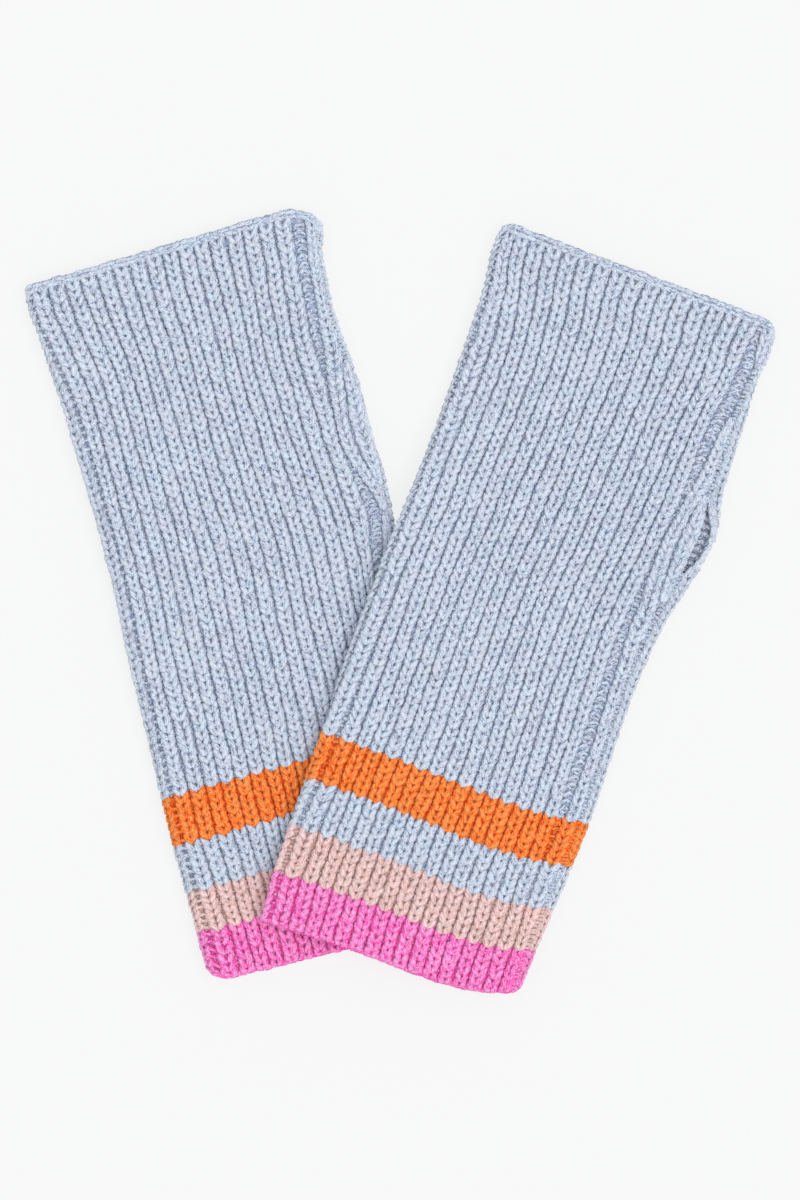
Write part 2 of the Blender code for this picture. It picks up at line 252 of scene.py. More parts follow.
# One leg of a knit stitch in a rib of the gauge's width
LEG = (
    Point(0.26, -1.80, -0.60, 0.72),
    Point(0.48, -1.28, -0.14, 0.90),
    Point(0.82, -0.72, 0.10, 0.98),
    Point(1.16, -0.12, 0.14, 1.00),
    Point(1.40, 0.50, 0.02, 0.97),
    Point(1.48, 1.15, -0.14, 0.92),
    Point(1.42, 1.85, -0.40, 0.80),
)
BACK_LEG = LEG[::2]
NARROWEST_RIB = 1.8  # narrower ones are pulled out of sight
SLIMMEST_LEG = 0.88  # the yarn's share of its thickness in a narrow rib
FULLEST_LEG = 1.05

# The courses that the legs keep between, at the hem and at the hand end
LEGS_START = 0.38
YARN_END = COURSES - 0.1

# Sides of a strand that shows, and of one on the back or sunk out of sight
FRONT_SIDES = 6
BACK_SIDES = 4

# In a purl column that lies open wider than this, two loops show for each stitch. They overlap
# the ribs beside it a little, and across is in halves of their width
OPEN_PURL = 1.5
PURL_OVERLAP = 0.5
PURL_LOOP = (
    Point(-1.0, -1.70, -0.85, 0.62),
    Point(-0.5, -0.55, -0.30, 0.74),
    Point(0.0, 0.20, -0.18, 0.78),
    Point(0.5, -0.30, -0.45, 0.68),
    Point(1.0, -1.30, -1.20, 0.48),
)

# Each loop's place in its course, how far it bends and which way, and its height
PurlLoop = namedtuple("PurlLoop", "place bend height")
PURL_LOOPS = (PurlLoop(0.3, 1.0, -0.15), PurlLoop(0.75, -0.6, -0.55))

# A purl stitch sunk between two ribs: across is in halves of its width. It reaches this far
# under each rib, and rises by this share of its column's width
SUNK_PURL = (
    Point(-1.0, -0.40, -1.00, 0.50),
    Point(-0.4, 0.10, -0.66, 0.62),
    Point(0.4, 0.10, -0.66, 0.62),
    Point(1.0, -0.40, -1.00, 0.50),
)
SUNK_REACH = 1.0
SUNK_RISE = 0.45

# A stitch of the seam. Between two courses the seam sinks a little, from one height to another
SEAM_STITCH = (
    Point(-1.3, -0.30, -0.80, 0.50),
    Point(-0.5, 0.05, -0.50, 0.66),
    Point(0.5, 0.05, -0.50, 0.66),
    Point(1.3, -0.30, -0.80, 0.50),
)
SEAM_STITCHES = 2  # to a course
SEAM_SINKS = (22, 38)
SEAM_HEIGHTS = (0.4, 0.35)

# Rows of stitches round the two ends: the course they lie at, and how high
EdgeRow = namedtuple("EdgeRow", "course height")
BOUND_OFF = (
    Point(-1.75, -0.22, -0.40, 0.66),
    Point(-0.90, 0.06, -0.08, 0.80),
    Point(0.0, 0.12, 0.0, 0.84),
    Point(0.90, 0.06, -0.08, 0.80),
    Point(1.75, -0.22, -0.40, 0.66),
)
BOUND_OFF_PITCH = 2.7
RIM_ROWS = (EdgeRow(COURSES - 0.78, -0.05), EdgeRow(COURSES - 0.26, -0.22))
CAST_ON = (
    Point(-1.65, 0.12, -0.40, 0.66),
    Point(-0.85, -0.08, -0.12, 0.80),
    Point(0.0, -0.14, -0.05, 0.86),
    Point(0.85, -0.08, -0.12, 0.80),
    Point(1.65, 0.12, -0.40, 0.66),
)
CAST_ON_PITCH = 2.5
HEM_ROW = EdgeRow(0.42, -0.45)

# An edge stitch of the slit
SELVEDGE = (
    Point(-0.1, -1.75, -0.50, 0.58),
    Point(0.0, -0.90, -0.12, 0.72),
    Point(0.1, 0.0, -0.02, 0.78),
    Point(0.0, 0.90, -0.12, 0.72),
    Point(-0.1, 1.75, -0.50, 0.58),
)
SELVEDGE_INSET = 0.5

# The stitches seen on the inner side of the back, through the slit, and the height that their
# painted shade is taken at, which gives them little of it
LINING_STITCH = (
    Point(-1.5, -0.5, -1.5, 0.8),
    Point(-0.5, 0.2, -1.8, 1.0),
    Point(0.5, 0.2, -1.8, 1.0),
    Point(1.5, -0.5, -1.5, 0.8),
)
LINING_COLUMNS = 5
LINING_PITCH = 2.6
LINING_PAINTED_SHADE_HEIGHT = 0.2

# How unevenly the stitches lie: each value is a standard deviation, that of swell a share of the
# radius, and that of tilt a slope
LegSpread = namedtuple("LegSpread", "shift tilt swell rise sideways")
LEG_SPREAD = LegSpread(shift=0.13, tilt=0.10, swell=0.06, rise=0.09, sideways=0.09)
SmallSpread = namedtuple("SmallSpread", "rise swell tilt shift")
SMALL_SPREAD = SmallSpread(rise=0.07, swell=0.07, tilt=0.14, shift=0.12)

# How the purl columns wander sideways: the length of each wave in courses, and its size. Each
# column has its own rate of every wave, between two shares of the plain one
Wave = namedtuple("Wave", "length size")
WAVES = (Wave(37.0, 0.16), Wave(19.0, 0.14), Wave(8.0, 0.10))
WAVE_RATES = (0.8, 1.25)
WAVE_COLUMNS = 24  # enough for every purl column of a front

# The yarn: wider than high where it lies, and twisted, in turns of a circle per millimetre
YARN_WIDENING = 1.06
YARN_FLATTENING = 0.74
YARN_TWIST = 0.04
YARN_ROUGHNESS = 0.045
YARN_SPACE_SPAN = 100.0  # each strand takes its fibres from its own place in so wide a noise

# Round the folds, how far the fuzz is combed up
NAP_COMBED = 0.3

# Heights over the yarn layer's middle between which the painted shade of the depths comes in,
# how much of that painted shade the folds lack, and how far it may go the other way there, into
# painted light
HIGH = 0.5
DEEP = -1.0
FOLD_PAINTED_LIGHT = 1.0
FOLD_PAINTED_LIGHTEST = -0.7

# The ground cloth: its outer face across a rib, as shares of its width and heights, and its
# inner face
GroundPoint = namedtuple("GroundPoint", "share height")
GROUND_PROFILE = (
    GroundPoint(0.0, -0.75),
    GroundPoint(0.28, 0.0),
    GroundPoint(0.5, -0.6),
    GroundPoint(0.72, 0.0),
    GroundPoint(1.0, -0.75),
)
GROUND_INNER = -1.55
GROUND_ROWS = 75
GROUND_START = 0.25  # in courses
GROUND_MARGIN = 0.15  # kept clear of each rib's sides
GROUND_TINT = 0.5

# Layout of the baked textures, in shares: what stays free at the sides of a strand's cell, the
# room for the end faces of a strand and of the ground cloth, and what stays free round each face
CELL_INSET = 0.06
STRAND_END_ROOM = 0.08
GROUND_END_ROOM = 0.04
END_INSET = 0.1

# Noises of the wool: the fibres' is in millimetres of yarn and drawn out along it, and the
# others' are in metres
Noise = namedtuple("Noise", "scale detail")
FIBRES = Noise(2.9, 0.5)
FIBRE_STRETCH = (0.28, 1.0, 1.0)
FLECKS = Noise(2200.0, 0.0)
PATCHES = Noise(60.0, 2.0)
HEATHER = Noise(300.0, 4.0)

# How much each of them, each strand's tint and the painted shade move the wool's tone, and where
# on it the yarn's colours lie
Weights = namedtuple("Weights", "fibres flecks patches tint depth")
WEIGHTS = Weights(fibres=2.3, flecks=1.5, patches=0.3, tint=0.14, depth=-0.45)
MIDDLE_TONE = 0.5
SHADE_AT = 0.1
MIDDLE_AT = 0.52
LIGHT_AT = 0.95

# The tints of heathered wool, and the span of the noise over which one turns into the other
HEATHER_COOL = (0.95, 0.99, 1.0)
HEATHER_WARM = (1.0, 0.96, 0.97)
HEATHER_FROM = 0.35
HEATHER_TO = 0.65

# The wool's surface, and how high its fibres stand
WOOL_ROUGHNESS = 0.92
WOOL_SPECULAR = 0.25
SHEEN_WEIGHT = 0.25
SHEEN_ROUGHNESS = 0.5
FIBRE_BUMP = 0.8

# The floor, in metres: it lies just under the pair, and glows to the photo's near-white
FLOOR_REACH = 4.0
FLOOR_DROP = 0.0002
FLOOR_GREY = 0.1
FLOOR_GLOW = 0.795
FLOOR_ROUGHNESS = 0.9

# The light: a plain bright studio, and one large soft lamp from the right
STUDIO_COLOUR = (0.95, 0.975, 1.0)
STUDIO_STRENGTH = 0.95
LAMP_COLOUR = (1.0, 0.985, 0.96)
LAMP_STRENGTH = 1.25
LAMP_SPREAD = np.radians(50)
LAMP_LEAN = (np.radians(7), np.radians(28), 0.0)

# The view from straight above: how much of the table it shows, and its middle in the frame of
# the tables of courses
VIEW_HEIGHT = 384.0
VIEW_MIDDLE_Y = 0.16
CAMERA_DISTANCE = 3000.0

Strands = namedtuple("Strands", "centres out heights radii")


def smooth_curve(knots, values, at):
    """Values on a smooth curve through a table's knots, at any places."""
    index = np.arange(len(knots))
    before = np.maximum(index - 1, 0)
    after = np.minimum(index + 1, len(knots) - 1)
    slopes = (values[after] - values[before]) / (knots[after] - knots[before])
    low = np.clip(np.searchsorted(knots, at, side="right") - 1, 0, len(knots) - 2)
    span = knots[low + 1] - knots[low]
    t = (at - knots[low]) / span
    return (
        values[low] * (1 - t) ** 2 * (1 + 2 * t)
        + slopes[low] * span * t * (1 - t) ** 2
        + values[low + 1] * t**2 * (3 - 2 * t)
        - slopes[low + 1] * span * t**2 * (1 - t)
    )


def read(rows, column, course):
    """One column of a table of courses, at any courses."""
    knots = np.array([row.number for row in rows], float)
    values = np.array([getattr(row, column) for row in rows], float)
    return smooth_curve(knots, values, np.asarray(course, float))


def hump(course, start, end, lean=1.0):
    """0 up to one course and from another one on, and up to 1 between them."""
    share = np.clip((course - start) / (end - start), 0.0, 1.0)
    return np.sin(np.pi * share**lean)


def unit(vectors):
    """The same directions with length 1."""
    return vectors / np.linalg.norm(vectors, axis=-1, keepdims=True)


def course_line(warmer, course):
    """The left end of a course on the table, its width, and the way to its right end."""
    left = np.stack([read(warmer.courses, name, course) for name in ("left_x", "left_y")], -1)
    right = np.stack([read(warmer.courses, name, course) for name in ("right_x", "right_y")], -1)
    width = np.linalg.norm(right - left, axis=-1)
    return left, width, (right - left) / width[..., None]


def course_width(warmer, course):
    """How wide the warmer lies at a course."""
    _, width, _ = course_line(warmer, course)
    return width


def corner_bend(radius, from_side, from_end):
    """How far the rounding of a corner pushes a course back from the end of the wall."""
    inside = radius - np.clip(from_side, 0.0, radius)
    arc = radius - np.sqrt(radius**2 - inside**2)
    return arc * np.clip(1.0 - from_end / (CORNER_REACH * radius), 0.0, None)


def place_on_table(warmer, course, distance):
    """Where a point of a course lies, distance in from the warmer's left-hand edge."""
    left, width, rightwards = course_line(warmer, course)
    handwards = np.stack([-rightwards[..., 1], rightwards[..., 0]], -1)
    across = np.clip(distance / width, 0.0, 1.0)
    bow = warmer.hem_bow * np.clip(1.0 - course / BOW_FADES_AT, 0.0, None)
    bow *= np.sin(np.pi * across**BOW_SKEW)
    from_hem = course * COURSE_HEIGHT
    from_hand = (COURSES - course) * COURSE_HEIGHT
    corners = warmer.corners
    push = corner_bend(corners.hem_left, distance, from_hem)
    push += corner_bend(corners.hem_right, width - distance, from_hem)
    push -= corner_bend(corners.hand_left, distance, from_hand)
    push -= corner_bend(corners.hand_right, width - distance, from_hand)
    return left + rightwards * distance[..., None] + handwards * (push - bow)[..., None]


def table_outline(warmer):
    """The warmer's square-cornered outline on the table, counterclockwise."""
    right = [(row.right_x, row.right_y) for row in warmer.courses]
    left = [(row.left_x, row.left_y) for row in reversed(warmer.courses)]
    return np.array(right + left)


def distance_outside(outline, places):
    """How far places lie outside a closed outline, 0 inside it."""
    inside = np.zeros(places.shape[:-1], bool)
    nearest = np.full(places.shape[:-1], np.inf)
    for start, end in zip(outline, np.roll(outline, -1, axis=0)):
        edge = end - start
        along = np.clip((places - start) @ edge / (edge @ edge), 0.0, 1.0)
        gap = np.linalg.norm(places - start - along[..., None] * edge, axis=-1)
        nearest = np.minimum(nearest, gap)
        crosses = (start[1] > places[..., 1]) != (end[1] > places[..., 1])
        rise = edge[1] if edge[1] else 1.0
        crossing = start[0] + edge[0] * (places[..., 1] - start[1]) / rise
        inside ^= crosses & (places[..., 0] < crossing)
    return np.where(inside, 0.0, nearest)


def lift_over(outline, places):
    """How high the upper warmer lies: over the lower one, or down on the table."""
    past = np.clip((distance_outside(outline, places) - STEP_START) / STEP_LENGTH, 0.0, 1.0)
    return (LAID_HEIGHT + STEP_CLEARANCE) * (1.0 - past * past * (3.0 - 2.0 * past))


def surface(warmer, course, path, height):
    """The point at a height over the yarn layer's middle, and the way out from it, in metres."""
    course, path, height = np.broadcast_arrays(course, path, height)
    _, width, rightwards = course_line(warmer, course)
    flat = width - 2 * FOLD_DEPTH
    path = np.mod(path + FOLD_PATH, 2 * (flat + FOLD_PATH)) - FOLD_PATH
    left_turn = np.clip(-path / FOLD_PATH, 0.0, 1.0)
    right_turn = np.clip((path - flat) / FOLD_PATH, 0.0, 1.0)
    underneath = np.clip(path - flat - FOLD_PATH, 0.0, flat)
    side = np.sin(np.pi * right_turn) - np.sin(np.pi * left_turn)
    rise = np.cos(np.pi * (left_turn + right_turn))
    distance = FOLD_DEPTH + np.clip(path, 0.0, flat) - underneath
    distance += side * (FOLD_REACH + height)
    place = place_on_table(warmer, course, distance)
    up = TUBE_MIDDLE + rise * (FOLD_RISE + height)
    if warmer.beneath:
        up += lift_over(table_outline(warmer.beneath), place)
    x = place[..., 0] - PAIR_MIDDLE_X
    y = place[..., 1] - PAIR_MIDDLE_Y
    out = np.stack([side * rightwards[..., 0], side * rightwards[..., 1], rise], -1)
    return np.stack([x, y, up], -1) * MM, out


def make_wobble(rng):
    """Slow sideways wandering of the purl columns along the warmer."""
    waves = []
    for wave in WAVES:
        phase = rng.uniform(0.0, 2 * np.pi, WAVE_COLUMNS)
        rate = 2 * np.pi / wave.length * rng.uniform(*WAVE_RATES, WAVE_COLUMNS)
        waves.append((rate, phase, wave.size))

    def wobble(course, count):
        """How far to the right the first so many columns lie at each course."""
        course = np.asarray(course, float)[..., None]
        return sum(
            size * np.sin(rate[:count] * course + phase[:count]) for rate, phase, size in waves
        )

    return wobble


def seam_inset(warmer, course):
    """How far inside the right-hand edge the seam lies, or the slit's front edge."""
    seam = warmer.seam
    drawn_in = hump(course, SLIT_START - SLIT_EASE, SLIT_END + SLIT_EASE) ** 2
    near_hand = np.clip(1.0 - (COURSES - course) / HAND_EASE, 0.0, 1.0)
    inset = seam.inset + (seam.slit_inset - seam.inset) * drawn_in
    return inset + (seam.hand_inset - seam.inset) * near_hand


def front_purls(warmer, course, wobble):
    """The paths of the front's purl columns at each course, and their open widths.

    They are those of the fold and beside it, the even ones, the one that lies open at the side,
    the one by the slit, and last the seam.
    """
    rows = warmer.purls
    even_from = read(rows, "even_from", course)
    even_to = read(rows, "even_to", course)
    seam = course_width(warmer, course) - seam_inset(warmer, course)
    places = [read(rows, "fold", course), read(rows, "outer", course)]
    for rib in range(EVEN_RIBS + 1):
        places.append(even_from + (even_to - even_from) * rib / EVEN_RIBS)
    places.append(read(rows, "side", course))
    places.append(np.minimum(read(rows, "slit", course), seam))
    places.append(seam)
    gaps = [np.zeros_like(course) for _ in places]
    gaps[0] = read(rows, "fold_gap", course)
    gaps[1] = read(rows, "outer_gap", course)
    gaps[-3] = read(rows, "side_gap", course)
    places = np.stack(places, -1) - FOLD_DEPTH
    gaps = np.clip(np.stack(gaps, -1), 0.0, None)
    places[..., 1:-1] += wobble(course, places.shape[-1] - 2)
    places = np.minimum(places, places[..., -1:])
    return places, gaps


def back_purls(warmer, course, wobble):
    """The same on the back, from the front's first purl column round the left fold, under."""
    start, _ = front_purls(warmer, course, wobble)
    start = start[..., 0]
    width = course_width(warmer, course)
    flat = width - 2 * FOLD_DEPTH
    closed = width - seam_inset(warmer, course) - FOLD_DEPTH
    open_edge = flat + FOLD_PATH * (1.0 - warmer.seam.slit_turn)
    opening = hump(course, SLIT_START, SLIT_END, SLIT_LEAN)
    edge = closed + (open_edge - closed) * opening
    end = edge - 2 * (flat + FOLD_PATH)
    share = np.arange(BACK_RIBS + 1) / BACK_RIBS
    places = start[..., None] + (end - start)[..., None] * share
    return places[..., ::-1], np.zeros_like(places)


def ribs_at(warmer, purls, courses, wobble):
    """The left and right sides of each rib at each course: arrays of (course, rib)."""
    places, gaps = purls(warmer, courses, wobble)
    left = places[..., :-1] + gaps[..., :-1] / 2
    right = places[..., 1:] - gaps[..., 1:] / 2
    return left, right


def uneven(spreads, count, rng):
    """A random difference of each kind for each of many strands."""
    return (rng.normal(0.0, spread, (count, 1)) for spread in spreads)


def knit_legs(warmer, purls, stripe, leg, wobble, rng):
    """The middle lines of the legs of a stripe's knit stitches."""
    courses = np.arange(stripe.start, stripe.end) + 0.5
    left, right = ribs_at(warmer, purls, courses, wobble)
    row, rib = np.nonzero(right - left > NARROWEST_RIB)
    row, rib = np.repeat(row, 2), np.repeat(rib, 2)
    side = np.tile([-1.0, 1.0], len(row) // 2)
    across, along, height, radius = np.array(leg).T

    count = len(row)
    shift, tilt, swell, rise, sideways = uneven(LEG_SPREAD, count, rng)
    course = courses[row][:, None] + (along + shift + tilt * across) / COURSE_HEIGHT
    course = np.clip(course, LEGS_START, YARN_END)
    low, high = ribs_at(warmer, purls, course, wobble)
    picked = np.arange(count)[:, None], np.arange(len(leg))[None], rib[:, None]
    low, high = low[picked], high[picked]
    share = (across + sideways + tilt * along) / RIB_PITCH * side[:, None]
    path = (low + high) / 2 + (high - low) * share
    squeeze = np.clip((high - low) / RIB_PITCH, SLIMMEST_LEG, FULLEST_LEG)
    heights = np.broadcast_to(height, course.shape) + rise
    radii = radius * (1.0 + swell) * squeeze
    return Strands(*surface(warmer, course, path, heights), heights, radii)


def small_strands(warmer, course, path, shape, rng, reach=1.0, height=0.0, bend=1.0):
    """Strands of one shape at places on the warmer: stretched across, raised and bent."""
    count = len(course)
    reach, height, bend = (
        np.broadcast_to(value, count)[:, None] for value in (reach, height, bend)
    )
    across, along, heights, radii = np.array(shape).T
    across, along, heights = across * reach, along * bend, heights + height
    rise, swell, tilt, shift = uneven(SMALL_SPREAD, count, rng)
    heights, radii = heights + rise, radii * (1.0 + swell)
    course = course[:, None] + (along + shift + tilt * across) / COURSE_HEIGHT
    return Strands(*surface(warmer, course, path[:, None] + across, heights), heights, radii)


def joined(groups):
    """Several groups of strands as one."""
    return Strands(*(np.concatenate(values) for values in zip(*groups)))


def purl_stitches(warmer, stripe, wobble):
    """The course, path and open width of each purl stitch of a stripe's front.

    The seam's own column is left out, and so is a closed column that runs into the seam.
    """
    courses = np.arange(stripe.start, stripe.end) + 0.5
    places, gaps = front_purls(warmer, courses, wobble)
    at_seam = places >= places[..., -1:] - NARROWEST_RIB / 2
    seen = ~at_seam | (gaps > OPEN_PURL)
    seen[..., -1] = False
    row, column = np.nonzero(seen)
    return courses[row], places[row, column], gaps[row, column]


def open_purls(warmer, stripe, wobble, rng):
    """The loops of a stripe's purl stitches, where their columns lie open."""
    course, path, gap = purl_stitches(warmer, stripe, wobble)
    opened = gap > OPEN_PURL
    start, path = course[opened] - 0.5, path[opened]
    reach = gap[opened] / 2 + PURL_OVERLAP
    return joined(
        small_strands(
            warmer, start + loop.place, path, PURL_LOOP, rng, reach, loop.height, loop.bend
        )
        for loop in PURL_LOOPS
    )


def sunk_purls(warmer, stripe, wobble, rng):
    """The stripe's other purl stitches, which lie sunk between two ribs."""
    course, path, gap = purl_stitches(warmer, stripe, wobble)
    sunk = gap <= OPEN_PURL
    course, path, gap = course[sunk], path[sunk], gap[sunk]
    reach, rise = gap / 2 + SUNK_REACH, SUNK_RISE * gap
    return small_strands(warmer, course, path, SUNK_PURL, rng, reach, rise)


def seam_stitches(warmer, stripe, wobble, rng):
    """The stitches that close a stripe's side seam."""
    count = SEAM_STITCHES * (stripe.end - stripe.start)
    course = stripe.start + (np.arange(count) + 0.5) / SEAM_STITCHES
    slit = (course > SLIT_START) & (course < SLIT_END)
    course = course[~slit]
    places, _ = front_purls(warmer, course, wobble)
    height = np.interp(course, SEAM_SINKS, SEAM_HEIGHTS)
    return small_strands(warmer, course, places[..., -1], SEAM_STITCH, rng, height=height)


def way_round(warmer, course, pitch):
    """Places along one course right round the tube, from the seam back to the seam."""
    width = course_width(warmer, np.asarray(course, float))
    seam = width - seam_inset(warmer, course) - FOLD_DEPTH
    length = 2 * (width - 2 * FOLD_DEPTH + FOLD_PATH)
    count = int(length / pitch)
    return seam - length * (np.arange(count) + 0.5) / count


def edge_stitches(warmer, row, pitch, shape, rng, offset=0.0):
    """A row of stitches right round one end of the tube."""
    path = way_round(warmer, row.course, pitch) + offset
    course = np.full(len(path), row.course)
    return small_strands(warmer, course, path, shape, rng, height=row.height)


def rim_stitches(warmer, rng):
    """The bound-off edge: an upper row of stitches and a lower one half a stitch on."""
    return joined(
        edge_stitches(warmer, row, BOUND_OFF_PITCH, BOUND_OFF, rng, number * BOUND_OFF_PITCH / 2)
        for number, row in enumerate(RIM_ROWS)
    )


def slit_edges(warmer, wobble, rng):
    """A chain of stitches along each edge of the thumb slit."""
    course = np.arange(SLIT_START, SLIT_END) + 0.5
    front, _ = front_purls(warmer, course, wobble)
    back, _ = back_purls(warmer, course, wobble)
    return joined(
        small_strands(warmer, course, path, SELVEDGE, rng)
        for path in (front[..., -1] - SELVEDGE_INSET, back[..., 0] + SELVEDGE_INSET)
    )


def slit_lining(warmer, wobble, rng):
    """The inner side of the back's stitches, seen through the thumb slit."""
    course = np.repeat(np.arange(SLIT_START - 1, SLIT_END + 1) + 0.5, LINING_COLUMNS)
    back, _ = back_purls(warmer, course, wobble)
    column = np.tile(np.arange(LINING_COLUMNS), len(course) // LINING_COLUMNS)
    path = back[..., 0] + LINING_PITCH * (column + 0.5)
    strands = small_strands(warmer, course, path, LINING_STITCH, rng)
    # Their painted shade is taken at one height, so they are painted lighter than they lie
    heights = np.full(strands.heights.shape, LINING_PAINTED_SHADE_HEIGHT)
    return strands._replace(out=-strands.out, heights=heights)


def quad_mesh(name, points, faces):
    """A smooth mesh of quads."""
    mesh = bpy.data.meshes.new(name)
    mesh.vertices.add(len(points))
    mesh.vertices.foreach_set("co", points.astype(np.float32).ravel())
    mesh.loops.add(faces.size)
    mesh.loops.foreach_set("vertex_index", faces.astype(np.int32).ravel())
    mesh.polygons.add(len(faces))
    mesh.polygons.foreach_set("loop_start", np.arange(0, faces.size, 4, dtype=np.int32))
    mesh.update(calc_edges=True)
    mesh.shade_smooth()
    return mesh


def set_point_values(mesh, name, kind, values):
    """Give each point of a mesh a value that its material can read."""
    attribute = mesh.attributes.new(name, kind, "POINT")
    field = "vector" if kind == "FLOAT_VECTOR" else "value"
    attribute.data.foreach_set(field, values.astype(np.float32).ravel())


def set_spots(mesh, spots):
    """Say where the corners of a mesh's faces lie in its baked textures."""
    layer = mesh.uv_layers.new(name="OFBake")
    layer.data.foreach_set("uv", spots.astype(np.float32).ravel())


def nap_of(out):
    """Which way the fuzz stands: as far up or down as the cloth faces, combed up at the folds."""
    nap = np.zeros_like(out)
    nap[..., 2] = out[..., 2] + NAP_COMBED * np.linalg.norm(out[..., :2], axis=-1)
    return nap


def painted_shade_by_height(heights):
    """Painted shade by how deep heights lie in the knitting, from 0 at its top to 1 in the gaps.
    """
    return (HIGH - heights) / (HIGH - DEEP)


def end_bands(room):
    """The narrow bands at the start and the end of a texture that the end faces get."""
    near, far = END_INSET * room, (1 - END_INSET) * room
    return (near, far), (1 - far, 1 - near)


def strand_faces(rings, sides):
    """Quads of one closed strand of yarn, and where their corners lie in its texture cell."""
    faces = []
    corners = []

    def add(face, start, end, low, high):
        faces.append(face)
        corners.append(((start, low), (start, high), (end, high), (end, low)))

    ring_starts = np.linspace(STRAND_END_ROOM, 1 - STRAND_END_ROOM, rings)
    for ring, (start, end) in enumerate(zip(ring_starts, ring_starts[1:])):
        near, far = ring * sides, (ring + 1) * sides
        for side in range(sides):
            after = (side + 1) % sides
            face = (near + side, near + after, far + after, far + side)
            add(face, start, end, side / sides, (side + 1) / sides)
    last = (rings - 1) * sides
    first_band, last_band = end_bands(STRAND_END_ROOM)
    caps = sides // 2
    for cap in range(caps - 1):
        fan = (0, 2 * cap + 1, 2 * cap + 2, 2 * cap + 3)
        low, high = (cap + END_INSET) / caps, (cap + 1 - END_INSET) / caps
        add(fan[::-1], *first_band, low, high)
        add(tuple(last + corner for corner in fan), *last_band, low, high)
    return np.array(faces), np.array(corners)


def strand_spots(count, corners):
    """The texture cells of many strands, side by side in rows."""
    columns = int(np.ceil(np.sqrt(count)))
    cell = np.stack([np.arange(count) % columns, np.arange(count) // columns], -1)
    spots = cell[:, None, None] + CELL_INSET + (1 - 2 * CELL_INSET) * corners
    return spots / columns


def yarn_space(centres, radii, angle, rng):
    """Coordinates for the fibres: along each strand and, turning with its twist, across it."""
    count = len(centres)
    steps = np.linalg.norm(np.diff(centres, axis=1), axis=-1) / MM
    length = np.concatenate([np.zeros((count, 1)), np.cumsum(steps, axis=1)], axis=1)[..., None]
    turn = 2 * np.pi * YARN_TWIST * length + angle
    along = np.broadcast_to(length, turn.shape)
    across = radii[..., None] * np.cos(turn)
    up = radii[..., None] * np.sin(turn)
    return np.stack([along, across, up], -1) + rng.uniform(0.0, YARN_SPACE_SPAN, (count, 1, 1, 3))


def strands_mesh(name, strands, sides, rng):
    """Many strands of yarn in one mesh. Each row of centres is one strand's middle line."""
    centres, out, heights, radii = strands
    count, rings = radii.shape
    ahead = unit(np.gradient(centres, axis=1))
    across = unit(np.cross(out, ahead))
    up = np.cross(ahead, across)
    angle = 2 * np.pi * np.arange(sides) / sides
    rough = rng.normal(1.0, YARN_ROUGHNESS, (count, rings, sides))
    sideways = radii[..., None] * np.cos(angle) * rough * YARN_WIDENING
    upwards = radii[..., None] * np.sin(angle) * rough * YARN_FLATTENING
    points = centres[:, :, None] + MM * (
        sideways[..., None] * across[:, :, None] + upwards[..., None] * up[:, :, None]
    )
    points[..., 2] = np.maximum(points[..., 2], 0.0)
    faces, corners = strand_faces(rings, sides)
    first = np.arange(count) * rings * sides
    mesh = quad_mesh(name, points.reshape(-1, 3), (first[:, None, None] + faces).reshape(-1, 4))

    spun = yarn_space(centres, radii, angle, rng)
    set_point_values(mesh, "yarn_space", "FLOAT_VECTOR", spun)
    nap = np.broadcast_to(nap_of(out)[:, :, None], points.shape)
    set_point_values(mesh, "nap", "FLOAT_VECTOR", nap)
    # Painted shade where the yarn lies deep in the knitting; round the folds less of it, down to
    # painted light
    aside = np.linalg.norm(out[..., :2], axis=-1)
    depth = painted_shade_by_height(heights[..., None] + upwards) - FOLD_PAINTED_LIGHT * aside[..., None]
    set_point_values(mesh, "depth", "FLOAT", np.clip(depth, FOLD_PAINTED_LIGHTEST, 1.0))
    tint = np.broadcast_to(rng.uniform(0.0, 1.0, (count, 1, 1)), depth.shape)
    set_point_values(mesh, "tint", "FLOAT", tint)
    set_spots(mesh, strand_spots(count, corners))
    return mesh


def ground_grid(warmer, wobble):
    """Paths and heights of the ground cloth's outer face, by course, from seam round to seam."""
    course = np.clip(np.linspace(0.0, COURSES, GROUND_ROWS + 1), GROUND_START, YARN_END)
    share, profile = np.array(GROUND_PROFILE).T
    paths = []
    heights = []
    for purls in (back_purls, front_purls):
        places, gaps = purls(warmer, course, wobble)
        if purls is front_purls:  # the column by the slit runs into the seam
            places, gaps = np.delete(places, -2, axis=-1), np.delete(gaps, -2, axis=-1)
        left = places[..., :-1] + gaps[..., :-1] / 2 + GROUND_MARGIN
        right = places[..., 1:] - gaps[..., 1:] / 2 - GROUND_MARGIN
        path = left[..., None] + (right - left)[..., None] * share
        paths.append(path.reshape(len(course), -1))
        heights.append(np.broadcast_to(profile, path.shape).reshape(len(course), -1))
    return course, np.concatenate(paths, -1), np.concatenate(heights, -1)


def wall_cells(rows, around):
    """The row and the side of each quad of a wall, in the order of its faces."""
    return np.meshgrid(np.arange(rows - 1), np.arange(around), indexing="ij")


def wall_faces(rows, around):
    """Quads of a closed wall whose rows of points run along its outer face and back inside."""
    row, side = wall_cells(rows, around)
    near, far, after = row * around, (row + 1) * around, (side + 1) % around
    walls = np.stack([near + side, near + after, far + after, far + side], -1).reshape(-1, 4)
    place = np.arange(around // 2 - 1)
    end = np.stack([place, place + 1, around - 2 - place, around - 1 - place], -1)
    return np.concatenate([walls, end[:, ::-1], end + (rows - 1) * around])


def rectangles(left, right, bottom, top):
    """The corners of rectangles in a texture, counterclockwise."""
    left, right, bottom, top = np.broadcast_arrays(left, right, bottom, top)
    across = np.stack([left, right, right, left], -1)
    up = np.stack([bottom, bottom, top, top], -1)
    return np.stack([across, up], -1).reshape(-1, 4, 2)


